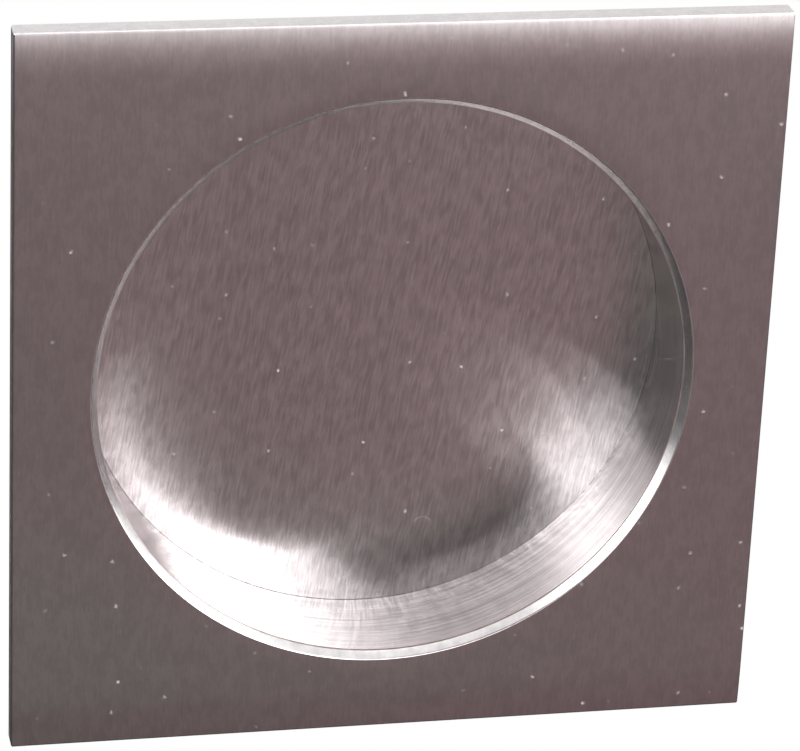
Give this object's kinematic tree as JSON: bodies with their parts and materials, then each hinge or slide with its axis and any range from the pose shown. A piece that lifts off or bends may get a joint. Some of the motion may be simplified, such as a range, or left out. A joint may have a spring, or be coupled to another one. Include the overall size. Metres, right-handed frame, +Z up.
{
  "type": "recessed pull handle",
  "caption": "Square brushed-metal flush pull with a round, flat-bottomed finger recess, let into a bored hole in a sliding door or drawer front.",
  "frame": {"origin": "on the cup's axis, in the plane of the plate's back face, which lies on the door", "axes": "+Y into the door along the cup's axis, so the front faces -Y; +Z up the door; +X to the user's right"},
  "size_m": [0.09, 0.018, 0.09],
  "materials": {
    "plate_brushed": "satin, brushed in straight lines from top to bottom",
    "cup_turned": "satin, fine turning marks round the axis",
    "disc_brushed": "satin, brushed in straight lines a few degrees off the plate's",
    "pad_foam": "matt adhesive foam"
  },
  "bodies": {
    "root": {"face_plate": "plate_brushed", "recess_cup": "cup_turned", "cover_disc": "disc_brushed", "disc_pad": "pad_foam"}
  },
  "joints": []
}
